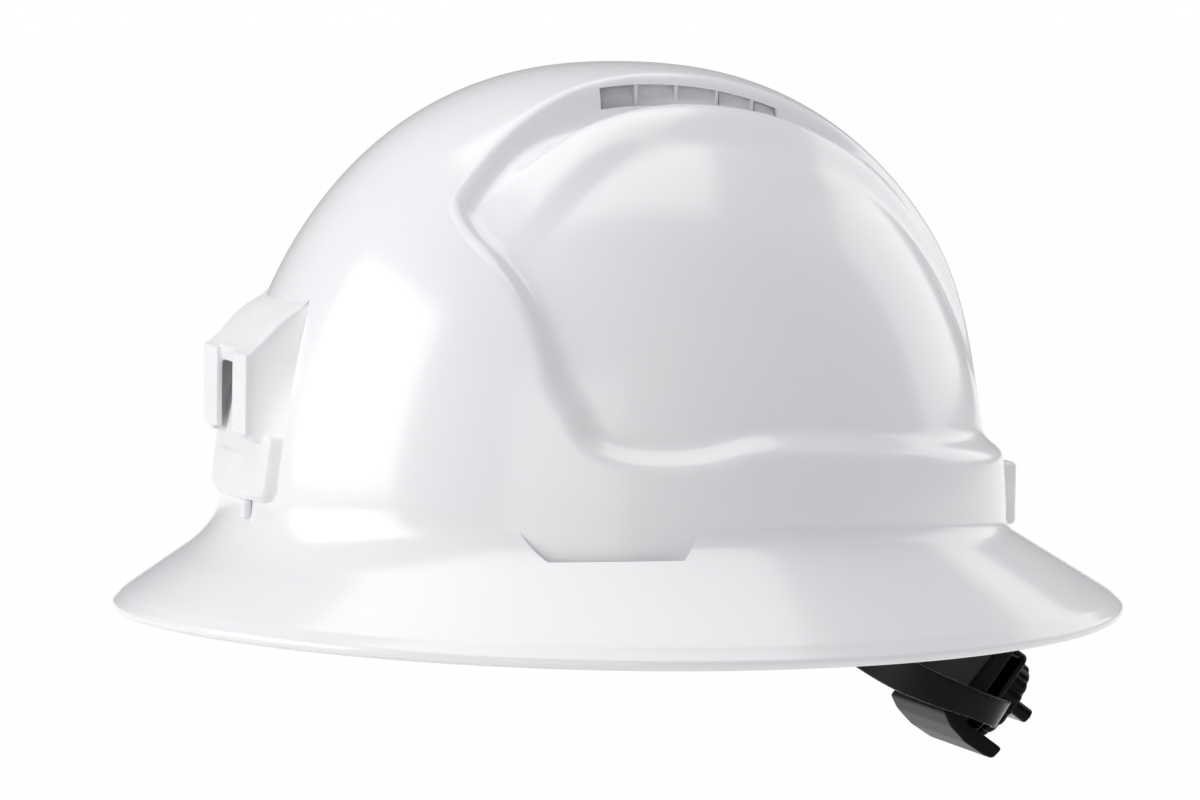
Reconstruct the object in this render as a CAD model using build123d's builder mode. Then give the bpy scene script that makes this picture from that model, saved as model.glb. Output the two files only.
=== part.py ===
from build123d import *
import math
import os

# Full brim hard hat, millimetres. The front of the hat faces -Y, the wearer's left is +X, and the
# origin is on the ground under the middle of the brim, level with the lowest point of the nape pad.

# Brim
rim_height = 49.0
brim_half_width = 143.0
brim_half_length = 165.4
brim_thickness = 2.6
rim_side_dip = 3.7
rim_bead = 4.2
rim_round = 0.9
brim_sections = 12

# Crown, measured up from its base ring
crown_base_rise = 28.0
crown_side_rise = 5.8
crown_half_width = 107.6
crown_half_length = 129.0
crown_height = 148.9
crown_roundness = 2.31
crown_setback = -2.5
crown_curve_points = 10
shell_wall = 2.6
panel_recess = 5.5
ridge_recess = 2.0
valley_recess = 11.0
skirt = 4.0
overrun = 12.0

# Rear pad, vent slots and accessory slots of the shell
pad_half_width = 15.0
pad_height = 19.0
pad_proud = 4.4
vent_front = -19.0
vent_rear = 42.0
vent_top_recess = 3.2
vent_bottom_recess = 9.8
vent_reach = 5.0
vent_line_share = 0.240
accessory_front = -64.0
accessory_rear = -11.0
accessory_width = 5.6
accessory_gap = 0.2

# Sockets inside the shell and the hangers that key into them
socket_angles = (-55.0, 0.0, 55.0)
socket_width = 24.0
socket_depth = 8.0
socket_height = 16.0
socket_rise = 8.0
socket_sink = 0.6
key_width = 15.0
key_thickness = 2.0
key_clearance = 0.3
hanger_thickness = 2.4
hanger_width = 20.0
hanger_tab = 13.0
hanger_shelf_drop = 0.6
key_height = 13.0
seat_gap = 0.3

# Headband, sweatband and crown straps
headband_half_width = 79.0
headband_half_length = 94.5
headband_thickness = 2.0
headband_height = 28.0
headband_bottom = 53.0
headband_rear = 45.0
sweatband_thickness = 3.0
sweatband_overlap = 1.5
sweatband_gap = 0.1
sweatband_rear = -20.0
strap_width = 19.0
strap_thickness = 1.0
strap_crown_gap = 34.0
strap_step = 1.8
strap_inset = 6.5

# Cap-lamp bracket
bracket_half_width = 25.0
bracket_foot_half_width = 27.8
bracket_proud = 1.2
bracket_bottom = 11.0
bracket_top = 75.5
bracket_lip_stand = 2.0
bracket_roof_stand = 0.3
bracket_roof_run = 19.5
bracket_roof_edge = 2.2
bracket_lip_width = 15.6
bracket_lip_thickness = 2.1
bracket_lip_bottom = 32.0
bracket_lip_top = 58.4
bracket_lip_drop = 0.5
bracket_gap = 0.1
emboss_half_width = 12.5
emboss_height = 11.0
emboss_rise = 14.5
emboss_depth = 0.5
bracket_side_wall = 2.6
rivet_radius = 2.0
rivet_head_radius = 3.6
rivet_head_height = 1.4
rivet_rise = 45.0
rivet_set = 3.6
rivet_spread = 6.0
rivet_clearance = 0.1
pin_radius = 1.8
pin_length = 5.5
pin_spread = 18.0
pin_stand = 0.9

# Nape arms and their pivots
pivot_y = 33.0
pivot_z = 58.0
pivot_pin_radius = 3.0
pivot_head_radius = 5.5
pivot_head_height = 1.6
pivot_boss_radius = 6.5
pivot_boss_inner = 68.6
pivot_boss_outer = 76.2
pivot_fit = 0.05
arm_width = 13.0
arm_thickness = 2.0
arm_gap = 0.3
arm_stand = 0.9
arm_end_width = 9.4
arm_slices = 9
arm_mid_upper = (68.0, 62.0, 40.2)
arm_mid_lower = (50.0, 91.0, 26.3)
arm_mid_rise = 4.0

# Ratchet: n runs along the knob axis away from the head, a runs up the housing, X across it
housing_y = 124.5
housing_z = 21.33
housing_tilt = 36.0
housing_half_width = 19.5
housing_half_height = 15.0
plate_thickness = 2.2
cavity_depth = 3.8
cover_thickness = 2.2
housing_corner = 4.0
cover_rim = 2.0
rack_thickness = 2.0
rack_clearance = 0.6
rack_back = 12.6
rack_inner_end = 11.0
rack_outer_end = 30.0
rack_head = 3.0
rack_teeth_from = -2
rack_teeth_to = 3
gear_module = 1.2
gear_teeth = 10
gear_gap = 0.4
gear_top = 1.0
gear_addendum = 1.0
gear_dedendum = 1.4
tooth_thickness = 1.45
tooth_tip = 0.75
tooth_root = 2.1
shaft_radius = 2.5
shaft_fit = 0.05
knob_radius = 14.5
knob_gap = 0.5
knob_depth = 7.6
knob_grips = 18
grip_radius = 1.3
knob_hollow_radius = 12.2
knob_hollow_depth = 2.6
knob_hub_radius = 5.0
knob_socket = 5.2
knob_edge = 1.0
grip_out = 0.6
handle_length = 24.0
handle_width = 5.0
handle_height = 6.6
detent_outer = 11.4
detent_inner = 9.6
detent_height = 1.8
screw_radius = 1.5
screw_head_radius = 2.6
screw_head_height = 1.6
screw_fit = 0.1

# Nape pad: its outline runs along n and a, out from the housing's middle
nape_half_width = 26.0
nape_gap = 0.3
nape_top = 14.0
nape_thickness = 5.0
nape_outline = [(-12.6, -5.0), (-13.9, -17.5), (-9.3, -19.8), (-2.0, -21.1), (6.1, -20.7),
                (8.9, -19.9), (9.5, -16.8)]

crown_base = rim_height + crown_base_rise
crown_top = crown_base + crown_height

# Outline of the raised shield and lower band, seen from the side: Y as a share of the crown's half
# length, height above the crown's base as a share of its height
shield_shares = [(-1.35, -0.30), (1.35, -0.30), (1.35, 0.130), (0.760, 0.195), (0.233, 0.235),
                 (0.062, 0.232), (-0.062, 0.202), (-0.233, 0.202), (-0.333, 0.235), (-0.357, 0.295),
                 (-0.395, 0.349), (-0.411, 0.430), (-0.442, 0.524), (-0.496, 0.611), (-0.543, 0.658),
                 (-0.558, 0.719), (-0.589, 0.819), (-0.620, 1.155), (-1.35, 1.155)]

# Plan outlines of the crest, the valley beside it and the second ridge: X as a share of the crown's
# half width, Y as a share of its half length
crest_shares = [(0.480, -1.2), (0.480, -0.570), (0.390, -0.403), (0.307, -0.225), (0.251, -0.039),
                (0.232, 0.155), (0.232, 0.465), (0.202, 0.655)]
valley_shares = [(0.560, -0.700), (0.530, -0.545), (0.474, -0.403), (0.427, -0.225), (0.381, -0.039),
                 (0.353, 0.155), (0.300, 0.388), (0.225, 0.600)]
ridge_shares = [(0.750, -0.900), (0.640, -0.500), (0.576, -0.295), (0.530, -0.155), (0.493, -0.031),
                (0.465, 0.078), (0.437, 0.240), (0.390, 0.388), (0.335, 0.504), (0.290, 0.640),
                (0.250, 0.760), (0.220, 0.880)]

def level(inset, drop):
    """A dome over an elliptical base, one level of the crown, inset inwards from the outermost one."""
    wide = crown_half_width - inset
    tall = crown_height - inset
    steps = [math.sin(math.pi / 2 * k / crown_curve_points) for k in range(crown_curve_points)]
    curve = [(wide * (1 - s * s) ** (1 / crown_roundness), tall * s) for s in steps]
    with BuildPart() as dome:
        with BuildSketch(Plane.XZ):
            with BuildLine():
                Spline(*curve, (0, tall), tangents=[(0, 1), (-1, 0)])
                Polyline((0, tall), (0, -drop), (wide, -drop), (wide, 0))
            make_face()
        revolve(axis=Axis.Z)
    stretched = scale(dome.part, by=(1, (crown_half_length - inset) / wide, 1))
    return Pos(0, crown_setback, crown_base) * stretched


def plan_prism(shares, grow):
    """A tall prism on a plan outline, grown or shrunk all round."""
    points = [(x * crown_half_width, y * crown_half_length) for x, y in shares]
    with BuildPart() as prism:
        with BuildSketch(Plane.XY.offset(crown_base - overrun)):
            with BuildLine():
                Polyline(*points, close=True)
            make_face()
            if grow:
                offset(amount=grow, kind=Kind.INTERSECTION)
        extrude(amount=crown_height + 2 * overrun)
    return prism.part


def side_prism(shares, grow):
    """A prism right across the hat on an outline seen from the side."""
    points = [(y * crown_half_length, crown_base + z * crown_height) for y, z in shares]
    with BuildPart() as prism:
        with BuildSketch(Plane.YZ):
            with BuildLine():
                Polyline(*points, close=True)
            make_face()
            if grow:
                offset(amount=grow, kind=Kind.INTERSECTION)
        extrude(amount=brim_half_width, both=True)
    return prism.part


def closed_to_middle(shares):
    """An outline carried past the middle plane, so that growing it never opens the middle."""
    return [(-0.5, shares[0][1])] + shares + [(-0.5, shares[-1][1])]


def crown_form(inset, drop):
    """The left half of the stepped crown. A positive inset gives its inner skin, one wall further in."""
    height = crown_height + 2 * overrun
    block = Pos(crown_half_width, 0, crown_base + crown_height / 2) * Box(2 * crown_half_width,
                                                                     3 * crown_half_length, height)
    rest = block - side_prism(shield_shares, -inset) - plan_prism(closed_to_middle(crest_shares), -inset)
    panels = rest - plan_prism(closed_to_middle(ridge_shares), -inset)
    valley = plan_prism(closed_to_middle(valley_shares), inset) & rest
    form = level(inset, drop) & block
    form -= rest - (level(ridge_recess + inset, drop) & block)
    form -= panels - (level(panel_recess + inset, drop) & block)
    form -= valley - (level(valley_recess + inset, drop) & block)
    return form


def brim_section(angle):
    """One radial slice of the brim: a sloping sheet with a rolled rim."""
    c, s = math.cos(angle), math.sin(angle)
    root = Vector((crown_half_width - shell_wall / 2) * c,
                  crown_setback + (crown_half_length - shell_wall / 2) * s, 0)
    rim = Vector(brim_half_width * c, brim_half_length * s, 0)
    reach = (rim - root).length
    top = crown_base + crown_side_rise * c * c
    low = rim_height - rim_side_dip * c * c
    fall = (top - low - rim_bead) / reach
    thick = brim_thickness * math.hypot(1, fall)
    lip = reach - shell_wall
    profile = [(0, top), (reach - rim_round, low + rim_bead), (reach, low + rim_bead - rim_round),
               (reach, low + rim_round), (reach - rim_round, low), (lip, low),
               (lip, low + rim_bead + fall * (reach - lip) - thick), (0, top - thick)]
    with BuildSketch(Plane(root, x_dir=rim - root, z_dir=(rim - root).cross(Vector(0, 0, 1)))) as slice:
        with BuildLine():
            Polyline(*profile, close=True)
        make_face()
    return slice.sketch


def half_brim():
    angles = [math.pi * (k / brim_sections - 0.5) for k in range(brim_sections + 1)]
    with BuildPart() as half:
        loft([brim_section(a) for a in angles])
    return half.part


def wall_place(angle, inset, height):
    """A place on the crown wall: the point, and the direction square to the wall there."""
    a, b = crown_half_width - inset, crown_half_length - inset
    c, s = math.cos(math.radians(angle)), math.sin(math.radians(angle))
    point = Vector(a * c, crown_setback + b * s, height)
    return point, Vector(c / a, s / b, 0).normalized()


def wall_plane(angle, inset, height):
    point, outward = wall_place(angle, inset, height)
    return Plane(point, x_dir=Vector(0, 0, 1).cross(outward), z_dir=(0, 0, 1))


def socket(angle):
    """A moulded block on the inner wall with a slot for the hanger's key."""
    base = wall_plane(angle, shell_wall, crown_base + socket_rise)
    with BuildPart() as block:
        with BuildSketch(base):
            with Locations((0, (socket_depth - socket_sink) / 2)):
                Rectangle(socket_width, socket_depth + socket_sink)
        extrude(amount=socket_height)
        with BuildSketch(base):
            with Locations((0, socket_depth / 2)):
                Rectangle(key_width + 2 * key_clearance, key_thickness + 2 * key_clearance)
        extrude(amount=socket_height, mode=Mode.SUBTRACT)
    return block.part


def box_between(low, high):
    size = [h - l for l, h in zip(low, high)]
    middle = [(l + h) / 2 for l, h in zip(low, high)]
    return Pos(*middle) * Box(*size)


def oval(half_width, half_length, low, high):
    """An upright elliptical cylinder about the middle of the head."""
    with BuildPart() as cylinder:
        with BuildSketch(Plane.XY.offset(low)):
            with Locations((0, crown_setback)):
                Ellipse(half_width, half_length)
        extrude(amount=high - low)
    return cylinder.part


def half_shell():
    """The left half of the shell: crown, brim, rear pad, sockets, vent slot and accessory slot."""
    half = crown_form(0, skirt) + half_brim()
    pad_face = crown_half_length + crown_setback + pad_proud
    half += box_between((0, crown_half_length - overrun, crown_base - skirt / 2),
                        (pad_half_width, pad_face, crown_base + pad_height))
    half -= crown_form(shell_wall, overrun)
    for angle in socket_angles:
        half += socket(angle)
    slot = level(vent_top_recess, skirt) - level(vent_bottom_recess, overrun)
    crest_side = crown_half_width * vent_line_share
    half -= slot & box_between((crest_side - 2 * vent_reach, vent_front, crown_base + crown_height / 2),
                               (crest_side + vent_reach, vent_rear, crown_top))
    ring = oval(crown_half_width + accessory_width, crown_half_length + accessory_width,
                rim_height, crown_base + socket_rise)
    ring -= oval(crown_half_width + accessory_gap, crown_half_length + accessory_gap,
                 rim_height - overrun, crown_base + overrun)
    half -= ring & box_between((crown_half_width / 2, accessory_front, rim_height),
                               (brim_half_width, accessory_rear, crown_base + socket_rise))
    return half


os.makedirs("parts", exist_ok=True)
left_shell = half_shell()
front_y = crown_setback - crown_half_length
rivet_spots = [(-rivet_spread, crown_base + rivet_rise), (rivet_spread, crown_base + rivet_rise)]
with BuildPart() as shell:
    add(left_shell)
    add(mirror(left_shell, about=Plane.YZ))
    with BuildSketch(Plane.XZ.offset(-front_y)):
        with Locations(*rivet_spots):
            Circle(rivet_radius + rivet_clearance)
    extrude(amount=-2 * overrun, mode=Mode.SUBTRACT)
shell.part.label = "shell"
export_step(shell.part, "parts/shell.step")

# Cap-lamp bracket: a thin plate that follows the front of the crown, two lips over a channel and a
# sloping roof
low, high = crown_base + bracket_bottom, crown_base + bracket_top
shelf, eave = crown_base + bracket_lip_bottom, crown_base + bracket_lip_top
lip_y = front_y - bracket_lip_stand
lip_end = eave - bracket_lip_drop
roof_y = front_y - bracket_roof_stand
back_y = front_y + 2 * bracket_roof_run
emboss_low = crown_base + emboss_rise
roof_profile = [(roof_y, eave - bracket_roof_edge), (roof_y, eave), (front_y + bracket_roof_run, high),
                (back_y, high), (back_y, eave - bracket_roof_edge)]
plate = box_between((-bracket_foot_half_width, front_y - overrun, low),
                    (bracket_foot_half_width, back_y, shelf))
plate += box_between((-bracket_half_width, front_y - overrun, low), (bracket_half_width, back_y, eave))
plate = level(-bracket_proud, overrun) & plate
emboss = box_between((-emboss_half_width, front_y - overrun, emboss_low),
                     (emboss_half_width, back_y, emboss_low + emboss_height))
emboss = level(-bracket_proud - emboss_depth, overrun) & emboss
front = box_between((-brim_half_width, front_y - overrun, crown_base - overrun),
                    (brim_half_width, -crown_half_length / 2, crown_top))
crown_skin = level(-bracket_gap, 2 * overrun) & front
lips = []
for side in (-1, 1):
    outer, inner, wall = [side * (bracket_half_width - w)
                          for w in (0, bracket_lip_width, bracket_side_wall)]
    lips.append(box_between((min(outer, inner), lip_y, shelf),
                            (max(outer, inner), lip_y + bracket_lip_thickness, lip_end)))
    lips.append(box_between((min(outer, wall), lip_y, shelf),
                            (max(outer, wall), front_y + overrun, lip_end)))
with BuildPart() as lamp_bracket:
    add(plate)
    add(emboss)
    with BuildSketch(Plane.YZ):
        with BuildLine():
            Polyline(*roof_profile, close=True)
        make_face()
    extrude(amount=bracket_half_width, both=True)
    add(lips)
    add(crown_skin, mode=Mode.SUBTRACT)
    with BuildSketch(Plane.XZ.offset(-front_y)):
        with Locations(*rivet_spots):
            Circle(rivet_radius + rivet_clearance)
    extrude(amount=-2 * overrun, mode=Mode.SUBTRACT)
lamp_bracket.part.label = "lamp_bracket"
export_step(lamp_bracket.part, "parts/lamp_bracket.step")

# Rivets through the bracket and the shell, headed inside against the crown's inner skin
inner_skin = level(shell_wall + rivet_clearance / 2, skirt) & front
for name, spot in zip(("bracket_rivet_right", "bracket_rivet_left"), rivet_spots):
    with BuildSketch(Plane.XZ.offset(-front_y - overrun / 2)) as disc:
        with Locations(spot):
            Circle(rivet_head_radius)
    head = extrude(disc.sketch, amount=-overrun + rivet_head_height) & inner_skin
    with BuildPart() as rivet:
        add(head)
        with BuildSketch(Plane.XZ.offset(-front_y - rivet_set)):
            with Locations(spot):
                Circle(rivet_radius)
        extrude(amount=-overrun / 2)
    rivet.part.label = name
    export_step(rivet.part, "parts/" + name + ".step")

# Short pin under the bracket's left corner
pin_y = crown_setback - crown_half_length * math.sqrt(1 - (pin_spread / crown_half_width) ** 2)
with BuildPart() as bracket_pin:
    with BuildSketch(Plane.XY.offset(low)):
        with Locations((pin_spread, pin_y - pin_stand)):
            Circle(pin_radius)
    extrude(amount=-pin_length)
    add(crown_skin, mode=Mode.SUBTRACT)
bracket_pin.part.label = "bracket_pin"
export_step(bracket_pin.part, "parts/bracket_pin.step")

# Headband: an open oval, with a boss for each nape arm's pivot
headband_top = headband_bottom + headband_height
band_inner = headband_half_width - headband_thickness, headband_half_length - headband_thickness
band_ring = oval(headband_half_width, headband_half_length, headband_bottom, headband_top)
band_ring -= oval(*band_inner, headband_bottom - overrun, headband_top + overrun)
band_ring -= box_between((-headband_half_length, headband_rear, headband_bottom - overrun),
                         (headband_half_length, 2 * headband_half_length, headband_top + overrun))
with BuildPart() as headband:
    add(band_ring)
    for side in (-1, 1):
        with BuildSketch(Plane.YZ.offset(side * pivot_boss_inner)):
            with Locations((pivot_y, pivot_z)):
                Circle(pivot_boss_radius)
        extrude(amount=side * (pivot_boss_outer - pivot_boss_inner))
    with BuildSketch(Plane.YZ):
        with Locations((pivot_y, pivot_z)):
            Circle(pivot_pin_radius + pivot_fit)
    extrude(amount=headband_half_width + overrun, both=True, mode=Mode.SUBTRACT)
headband.part.label = "headband"
export_step(headband.part, "parts/headband.step")

# Sweatband inside the front of the headband
sweat_outer = band_inner[0] - sweatband_gap, band_inner[1] - sweatband_gap
sweat_inner = sweat_outer[0] - sweatband_thickness, sweat_outer[1] - sweatband_thickness
sweat_ring = oval(*sweat_outer, headband_bottom - sweatband_overlap, headband_top + sweatband_overlap)
sweat_ring -= oval(*sweat_inner, headband_bottom - overrun, headband_top + overrun)
sweat_ring -= box_between((-headband_half_length, sweatband_rear, headband_bottom - overrun),
                          (headband_half_length, headband_half_length, headband_top + overrun))
with BuildPart() as sweatband:
    add(sweat_ring)
sweatband.part.label = "sweatband"
export_step(sweatband.part, "parts/sweatband.step")

# Hangers: a tab on the headband, a shelf and a key that stands in the shell's socket
shelf_top = crown_base + socket_rise - hanger_shelf_drop
shelf_low = shelf_top - hanger_thickness


def band_distance(angle):
    """How far the headband lies inside the crown wall, square to the wall."""
    point, outward = wall_place(angle, shell_wall, 0)
    wide, long = headband_half_width, headband_half_length
    y = point.Y - crown_setback
    square = (outward.X / wide) ** 2 + (outward.Y / long) ** 2
    slope = point.X * outward.X / wide ** 2 + y * outward.Y / long ** 2
    rest = (point.X / wide) ** 2 + (y / long) ** 2 - 1
    return (slope - math.sqrt(slope ** 2 - square * rest)) / square


hanger_names = ("front_left", "middle_left", "rear_left", "rear_right", "middle_right", "front_right")
hanger_angles = list(socket_angles) + [180 - a for a in reversed(socket_angles)]
for place, angle in zip(hanger_names, hanger_angles):
    reach = band_distance(angle) - seat_gap
    key = socket_depth / 2
    with BuildPart() as hanger:
        with BuildSketch(wall_plane(angle, shell_wall, shelf_low)):
            with Locations((0, (key - key_thickness / 2 + reach) / 2)):
                Rectangle(hanger_width, reach - key + key_thickness / 2)
        extrude(amount=hanger_thickness)
        with BuildSketch(wall_plane(angle, shell_wall, headband_top - hanger_tab)):
            with Locations((0, reach - hanger_thickness / 2)):
                Rectangle(hanger_width, hanger_thickness)
        extrude(amount=shelf_top - headband_top + hanger_tab)
        with BuildSketch(wall_plane(angle, shell_wall, shelf_low)):
            with Locations((0, key)):
                Rectangle(key_width, key_thickness)
        extrude(amount=hanger_thickness + key_height)
    hanger.part.label = "hanger_" + place
    export_step(hanger.part, "parts/hanger_" + place + ".step")

# Crown straps: half ovals from a hanger's shelf to the opposite one, crossing one over another
strap_rise = crown_height - strap_crown_gap + crown_base - shelf_top
for k, angle in enumerate(socket_angles):
    point, outward = wall_place(angle, shell_wall, shelf_top)
    seat = point - outward * (socket_depth / 2 + strap_inset)
    centre = Vector(0, crown_setback, shelf_top)
    span = seat - centre
    half_span, rise = span.length, strap_rise - k * strap_step
    upright = Plane(centre, x_dir=span, z_dir=span.cross(Vector(0, 0, 1)))
    with BuildPart() as strap:
        with BuildSketch(upright):
            Ellipse(half_span + strap_thickness / 2, rise)
            Ellipse(half_span - strap_thickness / 2, rise - strap_thickness, mode=Mode.SUBTRACT)
            with Locations((0, -rise)):
                Rectangle(2 * brim_half_width, 2 * rise, mode=Mode.SUBTRACT)
        extrude(amount=strap_width / 2, both=True)
    strap.part.label = "crown_strap_" + str(k + 1)
    export_step(strap.part, "parts/crown_strap_" + str(k + 1) + ".step")

# Ratchet housing, in planes square to the knob's axis
tilt = math.radians(housing_tilt)
knob_axis = Vector(0, math.cos(tilt), -math.sin(tilt))
up_axis = Vector(0, math.sin(tilt), math.cos(tilt))
housing_middle = Vector(0, housing_y, housing_z)
ratchet = Plane(housing_middle, x_dir=(-1, 0, 0), z_dir=knob_axis)
plate_back = -cavity_depth - plate_thickness
screw_seat = -cavity_depth + gear_gap
with BuildPart() as ratchet_back_plate:
    with BuildSketch(ratchet.offset(plate_back)):
        RectangleRounded(2 * housing_half_width, 2 * housing_half_height, housing_corner)
        Circle(screw_head_radius + screw_fit, mode=Mode.SUBTRACT)
    extrude(amount=plate_thickness)
ratchet_back_plate.part.label = "ratchet_back_plate"
export_step(ratchet_back_plate.part, "parts/ratchet_back_plate.step")

with BuildPart() as ratchet_cover:
    with BuildSketch(ratchet.offset(-cavity_depth)):
        RectangleRounded(2 * housing_half_width, 2 * housing_half_height, housing_corner)
    extrude(amount=cavity_depth + cover_thickness)
    with BuildSketch(ratchet.offset(-cavity_depth)):
        Rectangle(2 * (housing_half_width + overrun), 2 * (housing_half_height - cover_rim))
    extrude(amount=cavity_depth, mode=Mode.SUBTRACT)
    with BuildSketch(ratchet):
        Circle(shaft_radius + shaft_fit)
    extrude(amount=cover_thickness, mode=Mode.SUBTRACT)
    chamfer(ratchet_cover.faces().sort_by(Axis(housing_middle, knob_axis))[-1].outer_wire().edges(),
            cover_rim / 4)
ratchet_cover.part.label = "ratchet_cover"
export_step(ratchet_cover.part, "parts/ratchet_cover.step")

with BuildPart() as detent_ring:
    with BuildSketch(ratchet.offset(cover_thickness)):
        Circle(detent_outer)
        Circle(detent_inner, mode=Mode.SUBTRACT)
    extrude(amount=detent_height)
detent_ring.part.label = "detent_ring"
export_step(detent_ring.part, "parts/detent_ring.step")

# Racks: the left arm's rack runs under the pinion, the right arm's over it
pitch_radius = gear_module * gear_teeth / 2
tooth_pitch = math.pi * gear_module
rack_low = pitch_radius + gear_dedendum
rack_foot = -cavity_depth + rack_clearance
head_middle = rack_back - arm_end_width / 2
for name, side in (("rack_left", -1), ("rack_right", 1)):
    teeth = [side * k * tooth_pitch for k in range(rack_teeth_from, rack_teeth_to + 1)]
    with BuildPart() as rack:
        with BuildSketch(ratchet.offset(rack_foot)):
            with Locations((side * (rack_outer_end - rack_inner_end) / 2,
                            side * (rack_low + rack_back) / 2)):
                Rectangle(rack_outer_end + rack_inner_end, rack_back - rack_low)
            with Locations((side * (rack_outer_end - rack_head / 2), side * head_middle)):
                Rectangle(rack_head, arm_end_width)
            for x in teeth:
                root, pitch_half, tip = tooth_root / 2, tooth_thickness / 2, tooth_tip / 2
                with BuildLine():
                    Polyline((x - root, side * rack_back), (x - root, side * rack_low),
                             (x - pitch_half, side * pitch_radius),
                             (x - tip, side * (pitch_radius - gear_addendum)),
                             (x + tip, side * (pitch_radius - gear_addendum)),
                             (x + pitch_half, side * pitch_radius),
                             (x + root, side * rack_low), (x + root, side * rack_back), close=True)
                make_face()
        extrude(amount=rack_thickness)
    rack.part.label = name
    export_step(rack.part, "parts/" + name + ".step")

# Pinion on its shaft, the knob that it drives and the screw that holds the two together
with BuildPart() as ratchet_pinion:
    with BuildSketch(ratchet.offset(screw_seat)):
        Circle(pitch_radius - gear_dedendum)
        with PolarLocations(0, gear_teeth, start_angle=180 / gear_teeth + 90):
            with BuildLine():
                Polyline((0, -tooth_root / 2), (pitch_radius - gear_dedendum, -tooth_root / 2),
                         (pitch_radius, -tooth_thickness / 2),
                         (pitch_radius + gear_addendum, -tooth_tip / 2),
                         (pitch_radius + gear_addendum, tooth_tip / 2), (pitch_radius, tooth_thickness / 2),
                         (pitch_radius - gear_dedendum, tooth_root / 2), (0, tooth_root / 2), close=True)
            make_face()
    extrude(amount=-screw_seat - gear_top)
    with BuildSketch(ratchet.offset(screw_seat)):
        Circle(shaft_radius)
    extrude(amount=-screw_seat + cover_thickness + knob_gap + knob_socket)
    with BuildSketch(ratchet.offset(screw_seat)):
        Circle(screw_radius + shaft_fit)
    extrude(amount=-screw_seat + cover_thickness + knob_gap + knob_socket, mode=Mode.SUBTRACT)
ratchet_pinion.part.label = "ratchet_pinion"
export_step(ratchet_pinion.part, "parts/ratchet_pinion.step")

knob_foot = cover_thickness + knob_gap
with BuildPart() as ratchet_knob:
    with BuildSketch(ratchet.offset(knob_foot)):
        Circle(knob_radius)
        with PolarLocations(knob_radius + grip_out, knob_grips):
            Circle(grip_radius, mode=Mode.SUBTRACT)
    extrude(amount=knob_depth)
    top_edges = ratchet_knob.faces().sort_by(Axis(housing_middle, knob_axis))[-1].outer_wire().edges()
    chamfer(top_edges, knob_edge)
    with BuildSketch(ratchet.offset(knob_foot + knob_depth)):
        SlotOverall(handle_length, handle_width)
    extrude(amount=handle_height)
    with BuildSketch(ratchet.offset(knob_foot)):
        Circle(knob_hollow_radius)
        Circle(knob_hub_radius, mode=Mode.SUBTRACT)
    extrude(amount=knob_hollow_depth, mode=Mode.SUBTRACT)
    with BuildSketch(ratchet.offset(knob_foot)):
        Circle(shaft_radius + shaft_fit)
    extrude(amount=knob_socket, mode=Mode.SUBTRACT)
ratchet_knob.part.label = "ratchet_knob"
export_step(ratchet_knob.part, "parts/ratchet_knob.step")

with BuildPart() as knob_screw:
    with BuildSketch(ratchet.offset(screw_seat - screw_head_height)):
        Circle(screw_head_radius)
    extrude(amount=screw_head_height)
    with BuildSketch(ratchet.offset(screw_seat)):
        Circle(screw_radius)
    extrude(amount=-screw_seat + knob_foot + knob_socket)
knob_screw.part.label = "knob_screw"
export_step(knob_screw.part, "parts/knob_screw.step")

# Nape pad: it backs the housing and turns under it
side_view = Plane(housing_middle, x_dir=knob_axis, z_dir=(1, 0, 0))
lip_top = -housing_half_height - nape_gap
pad_profile = ([(plate_back, nape_top), (plate_back - nape_thickness, nape_top)] + nape_outline
               + [(nape_outline[-1][0], lip_top), (plate_back, lip_top)])
with BuildPart() as nape_pad:
    with BuildSketch(side_view):
        with BuildLine():
            Polyline(*pad_profile, close=True)
        make_face()
    extrude(amount=nape_half_width, both=True)
nape_pad.part.label = "nape_pad"
export_step(nape_pad.part, "parts/nape_pad.step")

# Nape arms: flexible straps from the pivots on the headband to the outer ends of the racks
arm_middle = pivot_boss_outer + arm_stand + arm_thickness / 2
for name, side in (("nape_arm_left", 1), ("nape_arm_right", -1)):
    start = Vector(side * arm_middle, pivot_y, pivot_z)
    end = (housing_middle + knob_axis * (rack_foot + rack_thickness / 2) - up_axis * side * head_middle
           + Vector(side * (rack_outer_end + arm_gap), 0, 0))
    lift = Vector(0, 0, arm_mid_rise * (1 - side))
    shift = Vector(0, arm_mid_rise * (1 - side) / 2, 0)
    upper = Vector(side * arm_mid_upper[0], *arm_mid_upper[1:]) + lift / 2
    lower = Vector(side * arm_mid_lower[0], *arm_mid_lower[1:]) + lift + shift
    with BuildLine() as path:
        Spline(start, upper, lower, end, tangents=[(upper - start).cross(Vector(1, 0, 0)).cross(
            Vector(-1, 0, 0)), (-side, 0, 0)])
    curve = path.line
    slices = []
    for k in range(arm_slices + 1):
        share = k / arm_slices
        along = (curve % share).normalized()
        outward = Vector(side, 0, 0) * (1 - share) + knob_axis * share
        outward = (outward - along * outward.dot(along)).normalized()
        width = arm_width + (arm_end_width - arm_width) * share
        with BuildSketch(Plane(curve @ share, x_dir=outward, z_dir=along)) as slice:
            Rectangle(arm_thickness, width)
        slices.append(slice.sketch)
    with BuildPart() as arm:
        loft(slices)
        with BuildSketch(Plane.YZ.offset(start.X - side * arm_thickness / 2)):
            with Locations((pivot_y, pivot_z)):
                Circle(arm_width / 2)
        extrude(amount=side * arm_thickness)
        with BuildSketch(Plane.YZ.offset(start.X - side * arm_thickness)):
            with Locations((pivot_y, pivot_z)):
                Circle(pivot_pin_radius + pivot_fit)
        extrude(amount=side * 2 * arm_thickness, mode=Mode.SUBTRACT)
    arm.part.label = name
    export_step(arm.part, "parts/" + name + ".step")

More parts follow.
